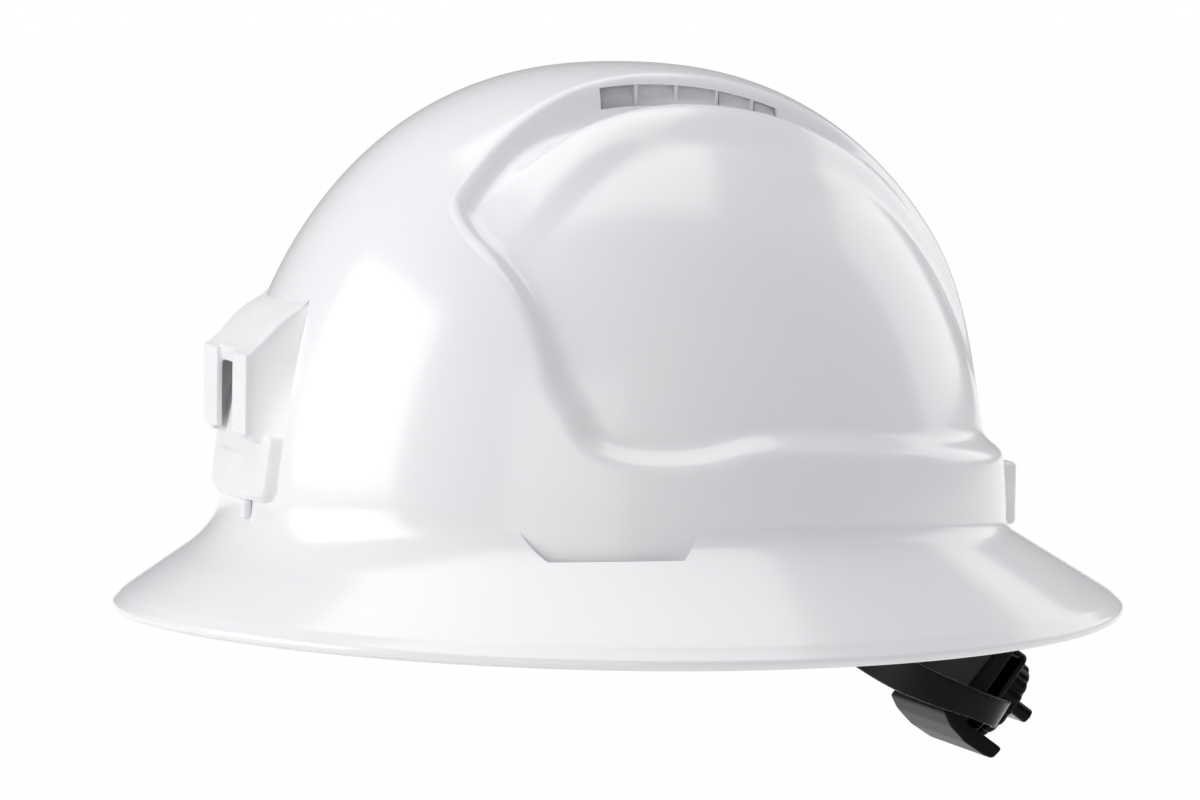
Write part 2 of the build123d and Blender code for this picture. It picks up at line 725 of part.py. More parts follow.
# Pivot pins: a flange inside the headband's boss, a shaft and a head over the arm
for name, side in (("pivot_pin_left", 1), ("pivot_pin_right", -1)):
    flange = pivot_boss_inner - arm_gap - pivot_head_height
    cap = arm_middle + arm_thickness / 2
    with BuildPart() as pin:
        for foot, radius, length in ((flange, pivot_head_radius, pivot_head_height),
                                     (flange, pivot_pin_radius, cap + pivot_head_height - flange),
                                     (cap, pivot_head_radius, pivot_head_height)):
            with BuildSketch(Plane.YZ.offset(side * foot)):
                with Locations((pivot_y, pivot_z)):
                    Circle(radius)
            extrude(amount=side * length)
    pin.part.label = name
    export_step(pin.part, "parts/" + name + ".step")
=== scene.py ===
import math
import bmesh
import bpy
import numpy as np
from mathutils import Matrix, Vector


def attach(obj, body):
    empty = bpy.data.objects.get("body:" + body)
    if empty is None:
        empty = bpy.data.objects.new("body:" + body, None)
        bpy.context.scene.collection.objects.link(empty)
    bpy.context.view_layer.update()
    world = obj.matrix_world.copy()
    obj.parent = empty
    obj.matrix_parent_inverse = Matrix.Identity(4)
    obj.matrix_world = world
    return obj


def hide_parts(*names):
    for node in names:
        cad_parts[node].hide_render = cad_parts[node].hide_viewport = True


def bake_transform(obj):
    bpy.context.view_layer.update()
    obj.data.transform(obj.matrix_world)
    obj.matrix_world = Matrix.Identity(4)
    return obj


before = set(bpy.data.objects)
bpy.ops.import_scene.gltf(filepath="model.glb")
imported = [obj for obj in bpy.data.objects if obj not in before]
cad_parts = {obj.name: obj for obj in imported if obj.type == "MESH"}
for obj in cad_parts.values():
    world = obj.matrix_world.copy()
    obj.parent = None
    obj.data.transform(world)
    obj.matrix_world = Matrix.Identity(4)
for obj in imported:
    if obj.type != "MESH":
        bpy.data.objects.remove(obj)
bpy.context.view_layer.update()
print("frame loaded:", len(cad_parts), "nodes")

mm = 0.001


# small helpers

def makeObject(name, verts, faces, smooth=True):
    mesh = bpy.data.meshes.new(name)
    mesh.from_pydata([tuple(v) for v in verts], [], [tuple(f) for f in faces])
    mesh.update()
    if smooth:
        mesh.polygons.foreach_set("use_smooth", [True] * len(mesh.polygons))
    obj = bpy.data.objects.new(name, mesh)
    bpy.context.scene.collection.objects.link(obj)
    return obj


def fromBmesh(name, bm, smooth=True):
    mesh = bpy.data.meshes.new(name)
    bm.normal_update()
    bm.to_mesh(mesh)
    bm.free()
    if smooth:
        mesh.polygons.foreach_set("use_smooth", [True] * len(mesh.polygons))
    obj = bpy.data.objects.new(name, mesh)
    bpy.context.scene.collection.objects.link(obj)
    return obj


def facesOut(obj):
    bm = bmesh.new()
    bm.from_mesh(obj.data)
    bmesh.ops.recalc_face_normals(bm, faces=bm.faces)
    bm.to_mesh(obj.data)
    bm.free()
    return obj


def applyAll(obj):
    depsgraph = bpy.context.evaluated_depsgraph_get()
    done = bpy.data.meshes.new_from_object(obj.evaluated_get(depsgraph))
    obj.modifiers.clear()
    old = obj.data
    obj.data = done
    bpy.data.meshes.remove(old)
    return obj


def softened(name, nodes, voxel, rounds, extra=()):
    bm = bmesh.new()
    for node in nodes:
        bm.from_mesh(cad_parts[node].data)
    for obj in extra:
        bm.from_mesh(obj.data)
        bpy.data.objects.remove(obj)
    bmesh.ops.remove_doubles(bm, verts=bm.verts, dist=1e-6)
    obj = fromBmesh(name, bm)
    remesh = obj.modifiers.new("remesh", "REMESH")
    remesh.mode = "VOXEL"
    remesh.voxel_size = voxel * mm
    soft = obj.modifiers.new("soft", "SMOOTH")
    soft.factor = 0.5
    soft.iterations = rounds
    return applyAll(obj)


def cutBy(obj, cutters):
    for cutter in cutters:
        cut = obj.modifiers.new("cut", "BOOLEAN")
        cut.operation = "DIFFERENCE"
        cut.solver = "MANIFOLD"
        cut.object = cutter
    applyAll(obj)
    for cutter in cutters:
        bpy.data.objects.remove(cutter)
    return obj


def bevelled(obj, width, segments=3, angle=35):
    bevel = obj.modifiers.new("bevel", "BEVEL")
    bevel.width = width * mm
    bevel.segments = segments
    bevel.limit_method = "ANGLE"
    bevel.angle_limit = math.radians(angle)
    return applyAll(obj)


def prism(name, outline, origin, xDir, yDir, low, high):
    zDir = Vector(xDir).cross(Vector(yDir)).normalized()
    bm = bmesh.new()
    foot = [bm.verts.new((Vector(origin) + Vector(xDir) * u + Vector(yDir) * v + zDir * low) * mm)
            for u, v in outline]
    face = bm.faces.new(foot)
    lifted = bmesh.ops.extrude_face_region(bm, geom=[face])["geom"]
    for vert in lifted:
        if isinstance(vert, bmesh.types.BMVert):
            vert.co += zDir * (high - low) * mm
    bmesh.ops.recalc_face_normals(bm, faces=bm.faces)
    return fromBmesh(name, bm)


def sweep(name, centres, outs, ups, sections):
    rings = []
    for k, centre in enumerate(centres):
        section = sections[k] if isinstance(sections[0][0], (list, tuple, np.ndarray)) else sections
        rings.append([Vector(centre) + Vector(outs[k]) * t + Vector(ups[k]) * w for t, w in section])
    count = len(rings[0])
    verts = [v * mm for ring in rings for v in ring]
    faces = []
    for r in range(len(rings) - 1):
        here, ahead = r * count, (r + 1) * count
        for k in range(count):
            n = (k + 1) % count
            faces.append((here + k, here + n, ahead + n, ahead + k))
    faces.append(tuple(range(count))[::-1])
    faces.append(tuple(range((len(rings) - 1) * count, len(rings) * count)))
    return facesOut(makeObject(name, verts, faces))


def bandSection(thick, wide, bead=0.0, beadWide=2.0, swell=0.0):
    # thin band seen end on: (outwards, up), with beaded or padded faces and round edges
    half, tall, steps, turns = thick / 2, wide / 2, 12, 9
    bend = half * 0.9                             # radius of the round edges
    flat = tall - bend

    def inset(v):
        edge = max(0.0, 1 - (1 - abs(v)) * tall / beadWide)
        return bead * (1 - min(1, edge * 2))

    across = [k / steps for k in range(-steps, steps + 1)]
    side = [(half - inset(v) + swell * (1 - v * v), v * flat) for v in across]
    nose = [(half * math.cos(a), flat + bend * math.sin(a))
            for a in (math.pi * k / turns for k in range(1, turns))]
    back = [(inset(v) - half, v * flat) for v in reversed(across)]
    tail = [(-t, -w) for t, w in nose]
    return side + nose + back + tail


def dress(obj, material):
    obj.data.materials.clear()
    obj.data.materials.append(material)


# materials

def newMaterial(name, color, roughness, metallic=0.0):
    material = bpy.data.materials.new(name)
    material.use_nodes = True
    shader = material.node_tree.nodes["Principled BSDF"]
    shader.inputs["Base Color"].default_value = (*color, 1)
    shader.inputs["Roughness"].default_value = roughness
    shader.inputs["Metallic"].default_value = metallic
    return material, material.node_tree, shader


def noiseNode(tree, scale, detail=4.0, stretch=(1, 1, 1)):
    place = tree.nodes.new("ShaderNodeTexCoord")
    mapping = tree.nodes.new("ShaderNodeMapping")
    mapping.inputs["Scale"].default_value = stretch
    noise = tree.nodes.new("ShaderNodeTexNoise")
    noise.inputs["Scale"].default_value = scale
    noise.inputs["Detail"].default_value = detail
    tree.links.new(place.outputs["Object"], mapping.inputs["Vector"])
    tree.links.new(mapping.outputs["Vector"], noise.inputs["Vector"])
    return noise


def rampNode(tree, source, low, high, start=0.35, stop=0.65):
    ramp = tree.nodes.new("ShaderNodeValToRGB")
    ramp.color_ramp.elements[0].position = start
    ramp.color_ramp.elements[0].color = (*low, 1)
    ramp.color_ramp.elements[1].position = stop
    ramp.color_ramp.elements[1].color = (*high, 1)
    tree.links.new(source, ramp.inputs["Fac"])
    return ramp


def bumpNode(tree, shader, source, strength, distance):
    bump = tree.nodes.new("ShaderNodeBump")
    bump.inputs["Strength"].default_value = strength
    bump.inputs["Distance"].default_value = distance
    tree.links.new(source, bump.inputs["Height"])
    tree.links.new(bump.outputs["Normal"], shader.inputs["Normal"])
    return bump


shellFinish = {"color": (0.86, 0.86, 0.87), "shade": (0.83, 0.83, 0.845), "roughness": 0.22,
               "coat": 0.5, "coatRoughness": 0.12, "peelScale": 260.0, "peelDepth": 0.00006}


def whiteShell():
    f = shellFinish
    material, tree, shader = newMaterial("glossWhiteShell", f["color"], f["roughness"])
    shader.inputs["Coat Weight"].default_value = f["coat"]
    shader.inputs["Coat Roughness"].default_value = f["coatRoughness"]
    broad = noiseNode(tree, 9.0, 2.0)
    ramp = rampNode(tree, broad.outputs["Fac"], f["shade"], f["color"])
    tree.links.new(ramp.outputs["Color"], shader.inputs["Base Color"])
    peel = noiseNode(tree, f["peelScale"], 2.0)   # faint moulding texture
    bumpNode(tree, shader, peel.outputs["Fac"], 0.12, f["peelDepth"])
    return material


def moulded(name, low, high, roughness, grain=900.0, depth=0.00008, specular=0.5):
    material, tree, shader = newMaterial(name, high, roughness)
    shader.inputs["Specular IOR Level"].default_value = specular
    broad = noiseNode(tree, 35.0, 3.0)
    ramp = rampNode(tree, broad.outputs["Fac"], low, high)
    tree.links.new(ramp.outputs["Color"], shader.inputs["Base Color"])
    fine = noiseNode(tree, grain, 3.0)
    bumpNode(tree, shader, fine.outputs["Fac"], 0.35, depth)
    return material


def woven(name, low, high, threads):
    material, tree, shader = newMaterial(name, high, 0.85)
    shader.inputs["Sheen Weight"].default_value = 0.25
    place = tree.nodes.new("ShaderNodeTexCoord")
    heights = []
    for axis in ("X", "Y"):
        wave = tree.nodes.new("ShaderNodeTexWave")
        wave.wave_type = "BANDS"
        wave.bands_direction = axis
        wave.inputs["Scale"].default_value = threads
        tree.links.new(place.outputs["Object"], wave.inputs["Vector"])
        heights.append(wave)
    mix = tree.nodes.new("ShaderNodeMath")
    mix.operation = "MAXIMUM"
    tree.links.new(heights[0].outputs["Fac"], mix.inputs[0])
    tree.links.new(heights[1].outputs["Fac"], mix.inputs[1])
    ramp = rampNode(tree, mix.outputs["Value"], low, high, 0.2, 0.8)
    tree.links.new(ramp.outputs["Color"], shader.inputs["Base Color"])
    bumpNode(tree, shader, mix.outputs["Value"], 0.6, 0.0003)
    return material


def steel():
    material, tree, shader = newMaterial("satinSteel", (0.62, 0.62, 0.64), 0.32, 1.0)
    lines = noiseNode(tree, 300.0, 3.0, (1, 1, 12))
    ramp = rampNode(tree, lines.outputs["Fac"], (0.5, 0.5, 0.52), (0.7, 0.7, 0.72))
    tree.links.new(ramp.outputs["Color"], shader.inputs["Base Color"])
    bumpNode(tree, shader, lines.outputs["Fac"], 0.15, 0.00005)
    return material


whiteGloss = whiteShell()
bracketPlastic = moulded("satinWhiteBracket", (0.80, 0.80, 0.81), (0.84, 0.84, 0.85), 0.38, 1200.0, 0.00004)
suspensionPlastic = moulded("mattBlackSuspension", (0.018, 0.018, 0.020), (0.028, 0.028, 0.031), 0.5,
                            specular=0.35)
ratchetPlastic = moulded("glossBlackRatchet", (0.003, 0.003, 0.0035), (0.005, 0.005, 0.006), 0.16,
                         500.0, 0.00002, specular=0.09)
padRubber = moulded("softBlackPad", (0.004, 0.004, 0.005), (0.008, 0.008, 0.009), 0.36,
                    500.0, 0.00005, specular=0.09)
sweatCloth = woven("sweatbandCloth", (0.02, 0.02, 0.023), (0.06, 0.06, 0.066), 420.0)
webbingCloth = woven("strapWebbing", (0.025, 0.025, 0.028), (0.075, 0.075, 0.082), 300.0)
steelFinish = steel()
print("materials made")


# shell: the stepped crown and the wide brim, in millimetres until the mesh is made

crown = {"halfWidth": 107.6, "halfLength": 129.0, "height": 148.9, "roundness": 2.31,
         "setback": -2.5, "base": 77.0, "wall": 2.6, "skirt": 4.0, "sideRise": 5.8,
         "panel": 5.5, "ridge": 2.0, "valley": 11.0, "frontStep": 2.8}
brim = {"halfWidth": 143.0, "halfLength": 165.4, "height": 49.0, "sideDip": 3.7, "bead": 4.2,
        "round": 2.05, "roll": 6.0, "rollDip": 0.35, "lipGap": 0.2, "thickness": 2.6, "frontFillet": 10.0,
        "sideFillet": 2.5}
grid = {"columns": 400, "crownRows": 150, "brimRows": 9, "filletRows": 6, "innerRows": 34,
        "settle": 12, "blur": 2}
# how softly each line of the crown turns: millimetres from the line, or a share of the length or height
relief = {"crest": (-1.0, 3.6), "valley": (-5.0, 2.0), "valleyRear": (0.42, 0.60),
          "valleyFront": (-0.50, -0.14), "panel": (-5.0, 4.5), "rearPanel": (0.25, 0.6),
          "rearHeight": (30, 96), "ridgeFront": (-0.50, -0.15), "step": 4.0,
          "stepUp": 2.1, "stepUpFrom": (0.30, 0.62), "stepRear": 1.4, "stepRearFrom": (0.0, 0.6)}

# plan lines: (Y as a share of the half length, X as a share of the half width)
crestLine = [(-1.3, 0.52), (-0.570, 0.480), (-0.403, 0.390), (-0.225, 0.307), (-0.039, 0.251),
             (0.155, 0.232), (0.465, 0.232), (0.655, 0.202), (1.3, 0.15)]
valleyLine = [(-1.3, 0.66), (-0.700, 0.560), (-0.545, 0.530), (-0.403, 0.474), (-0.225, 0.427),
              (-0.039, 0.381), (0.155, 0.353), (0.388, 0.300), (0.600, 0.225), (1.3, 0.10)]
ridgeLine = [(-1.3, 0.85), (-0.900, 0.750), (-0.500, 0.640), (-0.295, 0.576), (-0.155, 0.530),
             (-0.031, 0.493), (0.078, 0.465), (0.240, 0.437), (0.388, 0.390), (0.504, 0.335),
             (0.640, 0.290), (0.760, 0.250), (0.880, 0.220), (1.3, 0.15)]
# the step seen from the side: (Y share, height share of the crown), from the rear to the top
stepLine = [(1.35, 0.130), (0.760, 0.195), (0.233, 0.235), (0.062, 0.232), (-0.062, 0.202),
            (-0.233, 0.202), (-0.333, 0.235), (-0.357, 0.295), (-0.395, 0.349), (-0.411, 0.430),
            (-0.442, 0.524), (-0.496, 0.611), (-0.543, 0.658), (-0.558, 0.719), (-0.589, 0.819),
            (-0.620, 1.155)]


def smoothTable(table, step=0.002, blur=0.035):
    ys = np.arange(table[0][0], table[-1][0], step)
    xs = np.interp(ys, [p[0] for p in table], [p[1] for p in table])
    reach = int(3 * blur / step)
    kernel = np.exp(-0.5 * (np.arange(-reach, reach + 1) * step / blur) ** 2)
    padded = np.pad(xs, reach, mode="edge")
    return ys, np.convolve(padded, kernel / kernel.sum(), mode="valid")


def smoothPath(points, rounds):
    path = np.array(points, dtype=float)
    for _ in range(rounds):                       # corner cutting keeps the ends
        a, b = path[:-1], path[1:]
        cut = np.empty((2 * len(a), 2))
        cut[0::2], cut[1::2] = 0.75 * a + 0.25 * b, 0.25 * a + 0.75 * b
        path = np.vstack([path[:1], cut, path[-1:]])
    return path


def ease(x, low, high):
    t = np.clip((x - low) / (high - low), 0, 1)
    return t * t * (3 - 2 * t)


crestTable, valleyTable, ridgeTable = smoothTable(crestLine), smoothTable(valleyLine), smoothTable(ridgeLine)
stepPath = smoothPath(stepLine, 2) * np.array([crown["halfLength"], crown["height"]])


def stepDistance(y, h):
    best = np.full(y.shape, 1e9)
    sign = np.ones(y.shape)
    for (ay, ah), (by, bh) in zip(stepPath[:-1], stepPath[1:]):
        dy, dh = by - ay, bh - ah
        t = np.clip(((y - ay) * dy + (h - ah) * dh) / (dy * dy + dh * dh), 0, 1)
        oy, oh = y - (ay + t * dy), h - (ah + t * dh)
        far = np.hypot(oy, oh)
        side = np.where(dy * (h - ah) - dh * (y - ay) < 0, 1.0, -1.0)
        closer = far < best - 1e-9
        best = np.where(closer, far, best)
        sign = np.where(closer, side, sign)
    return best * sign                            # positive on the recessed side


def recess(x, y, z):
    k, a = relief, crown["halfWidth"]
    wide, share, h = np.abs(x), y / crown["halfLength"], z - crown["base"]

    def near(value, line, limits):
        return ease(value, line + limits[0], line + limits[1])

    onCrest = 1 - near(wide, np.interp(share, *crestTable) * a, k["crest"])
    inValley = 1 - near(wide, np.interp(share, *valleyTable) * a, k["valley"])
    inValley = inValley * (1 - ease(share, *k["valleyRear"])) * ease(share, *k["valleyFront"])
    onPanel = near(wide, np.interp(share, *ridgeTable) * a, k["panel"])
    rear = ease(share, *k["rearPanel"]) * (1 - ease(h, *k["rearHeight"]))
    # the ridge is lower at the front, where the valley fades in
    ridge = crown["ridge"] + crown["frontStep"] * (1 - ease(share, *k["ridgeFront"]))
    plan = ridge + (crown["panel"] - ridge) * onPanel
    plan = plan + (crown["valley"] - plan) * inValley
    plan = np.maximum(plan * (1 - onCrest), crown["panel"] * rear)
    half = k["step"] - k["stepUp"] * ease(h / crown["height"], *k["stepUpFrom"])
    half = half - k["stepRear"] * ease(share, *k["stepRearFrom"])
    return plan * near(stepDistance(y, h), 0.0, (-half, half))


def domePoint(angle, rise, inset):
    f = np.cos(rise) ** (2 / crown["roundness"])
    x = (crown["halfWidth"] - inset) * f * np.cos(angle)
    y = crown["setback"] + (crown["halfLength"] - inset) * f * np.sin(angle)
    z = crown["base"] + (crown["height"] - inset) * np.sin(rise)
    return x, y, z


def crownSurface(angle, rise, wall):
    # rise has a row for each ring of the mesh
    depth = np.zeros(np.broadcast(angle, rise).shape)
    for _ in range(grid["settle"]):
        x, y, z = domePoint(angle, rise, depth)
        depth = 0.5 * depth + 0.5 * recess(x, y, z)
    for _ in range(grid["blur"]):                 # evens out steps between neighbouring rings
        depth = 0.5 * depth + 0.25 * (np.roll(depth, 1, axis=1) + np.roll(depth, -1, axis=1))
        inside = np.pad(depth, ((1, 1), (0, 0)), mode="edge")
        depth = 0.5 * depth + 0.25 * (inside[:-2] + inside[2:])
    return np.stack(domePoint(angle, rise, depth + wall), axis=-1)


def riseRows(count):
    fine = np.linspace(0.0, math.pi / 2, 2000)    # evenly spaced rows along the dome's arc
    f = np.cos(fine) ** (2 / crown["roundness"]) * 0.5 * (crown["halfWidth"] + crown["halfLength"])
    run = np.concatenate([[0], np.cumsum(np.hypot(np.diff(f), np.diff(np.sin(fine) * crown["height"])))])
    return np.interp(np.linspace(0, run[-1], count + 1), run, fine)


def bezier(a, b, c, t):
    t = np.asarray(t)[:, None, None]
    return (1 - t) ** 2 * a + 2 * t * (1 - t) * b + t ** 2 * c


def shellRows():
    columns = grid["columns"]
    angle = np.arange(columns) * 2 * math.pi / columns
    c, s = np.cos(angle), np.sin(angle)
    base, wall = crown["base"], crown["wall"]

    def ringAt(inset, height):
        return np.stack([(crown["halfWidth"] - inset) * c,
                         crown["setback"] + (crown["halfLength"] - inset) * s,
                         np.broadcast_to(height, c.shape)], axis=-1)

    root = ringAt(wall / 2, base + crown["sideRise"] * c * c)
    low = brim["height"] - brim["sideDip"] * c * c
    rim = np.stack([brim["halfWidth"] * c, brim["halfLength"] * s, low + brim["bead"]], axis=-1)
    flat = (rim - root) * np.array([1, 1, 0])
    reach = np.linalg.norm(flat, axis=1)[:, None]
    out = flat / reach
    fall = (rim[:, 2:] - root[:, 2:]) / reach
    up = np.array([[0.0, 0.0, 1.0]])

    def onBrim(distance):
        return root + out * distance + up * fall * distance

    front = ease(-s, 0.15, 0.85)[:, None]
    fillet = brim["sideFillet"] + (brim["frontFillet"] - brim["sideFillet"]) * front
    # the outer wall starts where the fillet ends
    start = np.arcsin((crown["sideRise"] * c * c + fillet[:, 0]) / crown["height"])
    rows = []
    inner = riseRows(grid["innerRows"])[::-1]
    rows += list(crownSurface(angle, np.repeat(inner[1:, None], columns, axis=1), wall))   # inner skin
    rows.append(ringAt(wall, base - crown["skirt"]))
    rows.append(ringAt(wall * 0.5, base - crown["skirt"] - 0.5))
    rows.append(ringAt(0.0, base - crown["skirt"]))
    thick = brim["thickness"] * np.sqrt(1 + fall ** 2)
    lip = reach - wall
    for t in np.linspace(0.06, 1, grid["brimRows"]):
        rows.append(onBrim(wall + (lip - wall) * t) - up * thick)
    edge = rim - up * brim["bead"]                # lowest line of the rolled rim
    rows.append(edge - out * (wall - brim["lipGap"]))
    bend = brim["round"]
    turns = [k * math.pi / 8 for k in range(1, 4)]
    for turn in turns:
        rows.append(edge - out * bend * (1 - math.sin(turn)) + up * bend * (1 - math.cos(turn)))
    rows.append(edge + up * bend)
    rows.append(rim - up * bend)
    for turn in turns:
        rows.append(rim - out * bend * (1 - math.cos(turn)) - up * bend * (1 - math.sin(turn)))
    foot = wall / 2 + fillet
    rimStart = bend * 1.25
    for t in np.linspace(0, 1, 2 * grid["brimRows"])[1:] ** 1.5:      # rows crowd towards the rim
        run = reach - rimStart + (foot - reach + rimStart) * t
        rows.append(onBrim(run) - up * brim["rollDip"] * (1 - ease(reach - run, 0, brim["roll"])))
    spread = riseRows(grid["crownRows"])[:-1, None] / (math.pi / 2)
    outer = crownSurface(angle, start + (math.pi / 2 - start) * spread, 0.0)
    corner = ringAt(0.0, base + crown["sideRise"] * c * c)
    rows += list(bezier(rows[-1], corner, outer[0], np.linspace(0, 1, grid["filletRows"] + 1)[1:-1]))
    return rows + list(outer)


def shellMesh():
    rows = shellRows()
    columns, count = grid["columns"], len(rows)
    innerTop = np.array([[0, crown["setback"], crown["base"] + crown["height"] - crown["wall"]]])
    outerTop = np.array([[0, crown["setback"], crown["base"] + crown["height"]]])
    verts = np.vstack(rows + [innerTop, outerTop]) * mm
    faces = []
    for r in range(count - 1):
        for k in range(columns):
            n = (k + 1) % columns
            faces.append((r * columns + k, r * columns + n, (r + 1) * columns + n, (r + 1) * columns + k))
    first, last, a, b = 0, (count - 1) * columns, count * columns, count * columns + 1
    for k in range(columns):
        n = (k + 1) % columns
        faces.append((a, first + n, first + k))
        faces.append((b, last + k, last + n))
    return makeObject("shellBody", verts, faces)


shellBody = facesOut(shellMesh())
print("shell mesh:", len(shellBody.data.polygons), "faces")

vent = {"front": -19.5, "rear": 42.0, "side": 25.8, "reach": 11.0, "root": 8.0, "top": 3.2, "bottom": 9.6,
        "baffleTop": 19.0, "baffleFoot": 26.2, "topInset": 2.2, "footInset": 11.2, "baffleThick": 1.4,
        "baffleEnds": 4, "baffleEdge": 0.25, "ribs": (-6.0, 8.0, 22.0, 34.0), "ribThick": 1.1, "ribEdge": 0.2,
        "ribInsets": (3.6, 11.0, 10.5, 3.0), "ribShort": 1, "ribGap": 0.6}
accessory = {"front": -64.0, "rear": -11.0, "width": 5.6, "gap": 0.2, "taper": 6.5, "tapers": 1.8,
             "low": 60.0, "high": 96.0}


def loopPrism(name, lower, upper):
    count = len(lower)
    verts = [Vector(p) * mm for p in lower] + [Vector(p) * mm for p in upper]
    faces = [tuple(range(count))[::-1], tuple(range(count, 2 * count))]
    faces += [(k, (k + 1) % count, (k + 1) % count + count, k + count) for k in range(count)]
    return facesOut(makeObject(name, verts, faces, smooth=False))


def domeHeight(x, y, inset):
    a, b = crown["halfWidth"] - inset, crown["halfLength"] - inset
    q = math.hypot(x / a, (y - crown["setback"]) / b)
    return crown["base"] + (crown["height"] - inset) * math.sqrt(max(0, 1 - q ** crown["roundness"]))


def evenly(low, high, steps):
    return [low + (high - low) * k / steps for k in range(steps + 1)]


def ventCutter(side):
    v = vent
    ys = evenly(v["front"], v["rear"], 14)
    outline = [(y, domeHeight(v["side"], y, v["top"])) for y in ys]
    outline += [(y, domeHeight(v["side"], y, v["bottom"])) for y in reversed(ys)]
    inner = [(side * (v["side"] - v["root"]), y, z) for y, z in outline]
    outer = [(side * (v["side"] + v["reach"]), y, z) for y, z in outline]
    return loopPrism("ventCutter", inner, outer)


def slotCutter(side):
    s = accessory
    ys = evenly(s["front"], s["rear"], 16)

    def ring(grow, y):
        a, b = crown["halfWidth"] + grow, crown["halfLength"] + grow
        return side * a * math.sqrt(1 - ((y - crown["setback"]) / b) ** 2)

    length = s["rear"] - s["front"] - s["tapers"] * s["taper"]        # of the slot's outer side
    short = [s["front"] + s["taper"] + length * k / 16 for k in range(17)]
    outline = [(ring(s["gap"], y), y) for y in ys] + [(ring(s["width"], y), y) for y in reversed(short)]
    return loopPrism("slotCutter", [(x, y, s["low"]) for x, y in outline],
                     [(x, y, s["high"]) for x, y in outline])


cutters = [make(side) for make in (ventCutter, slotCutter) for side in (1, -1)]
cutBy(shellBody, cutters)
shellBody.data.polygons.foreach_set("use_smooth", [True] * len(shellBody.data.polygons))
shellBody.data.set_sharp_from_angle(angle=math.radians(38))
dress(shellBody, whiteGloss)
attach(shellBody, "helmet")
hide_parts("shell")
print("shell cut:", len(shellBody.data.polygons), "faces")


socket = {"angles": (-55.0, 0.0, 55.0), "width": 24.0, "depth": 8.0, "sink": 0.4, "low": 85.0, "high": 101.0,
          "keyWide": 15.6, "keyThick": 2.6, "edge": 0.6}
rearPad = {"halfWidth": 15.0, "low": 75.5, "high": 96.0, "inner": 119.0, "face": 130.9, "edge": 1.6}


def wallFrame(angle, inset):
    a, b = crown["halfWidth"] - inset, crown["halfLength"] - inset
    c, s = math.cos(math.radians(angle)), math.sin(math.radians(angle))
    out = Vector((c / a, s / b, 0)).normalized()
    return Vector((a * c, crown["setback"] + b * s, 0)), out, Vector((-out.y, out.x, 0))


def shellSockets():
    k = socket
    for side in (1, -1):
        for n, angle in enumerate(k["angles"]):
            foot, out, across = wallFrame(angle if side > 0 else 180 - angle, crown["wall"])
            half, far = k["width"] / 2, -k["depth"]
            block = prism("shellSocket" + ("Left" if side > 0 else "Right") + str(n + 1),
                          [(-half, k["sink"]), (-half, far), (half, far), (half, k["sink"])],
                          foot, across, out, -k["high"], -k["low"])
            wide, mid, thick = k["keyWide"] / 2, -k["depth"] / 2, k["keyThick"] / 2
            key = [(-wide, mid - thick), (wide, mid - thick), (wide, mid + thick), (-wide, mid + thick)]
            hole = prism("keySlot", key, foot, across, out, -k["high"] - 2, -k["low"] + 2)
            cutBy(block, [hole])
            bevelled(block, k["edge"], 2)
            dress(block, whiteGloss)
            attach(block, "helmet")


def shellRearPad():
    k = rearPad
    outline = [(-k["halfWidth"], k["low"]), (k["halfWidth"], k["low"]), (k["halfWidth"], k["high"]),
               (-k["halfWidth"], k["high"])]
    pad = prism("shellRearPad", outline, (0, 0, 0), (1, 0, 0), (0, 0, 1), -k["face"], -k["inner"])
    bevelled(pad, k["edge"], 4)
    dress(pad, whiteGloss)
    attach(pad, "helmet")


def ventBaffles():
    # a slanting rain baffle stands behind each vent slot, with ribs across the gap
    v = vent
    for side, word in ((1, "Left"), (-1, "Right")):
        steps = 16
        ys = evenly(v["front"] - v["baffleEnds"], v["rear"] + v["baffleEnds"], steps)
        top, foot = v["baffleTop"], v["baffleFoot"]
        inner = [(side * top, y, domeHeight(top, y, v["topInset"])) for y in ys]
        inner += [(side * foot, y, domeHeight(foot, y, v["footInset"])) for y in reversed(ys)]
        outer = [(x + side * v["baffleThick"], y, z) for x, y, z in inner]
        verts = [Vector(p) * mm for p in inner + outer]
        count = 2 * (steps + 1)
        faces = []
        for k in range(steps):
            a, b, c, d = k, k + 1, count - 2 - k, count - 1 - k
            faces += [(a, b, c, d), (a + count, d + count, c + count, b + count)]
        rim = list(range(count))
        faces += [(p, q, q + count, p + count) for p, q in zip(rim, rim[1:] + rim[:1])]
        baffle = facesOut(makeObject("ventBaffle" + word, verts, faces))
        parts = [bevelled(baffle, v["baffleEdge"], 2)]
        for k, y in enumerate(v["ribs"]):
            reach = np.interp(y / crown["halfLength"], *crestTable) * crown["halfWidth"] - v["ribGap"]
            half = v["ribThick"] / 2
            corners = zip((top, foot - v["ribShort"], reach, reach), (top, foot, reach, reach),
                          v["ribInsets"])
            outline = [(side * x, domeHeight(under, y, inset)) for x, under, inset in corners]
            rib = loopPrism("ventRib" + word + str(k + 1), [(x, y - half, z) for x, z in outline],
                            [(x, y + half, z) for x, z in outline])
            parts.append(bevelled(rib, v["ribEdge"], 2))
        for part in parts:
            dress(part, whiteGloss)
            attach(part, "helmet")


shellSockets()
shellRearPad()
ventBaffles()
print("sockets and rear pad made")


# cap-lamp bracket

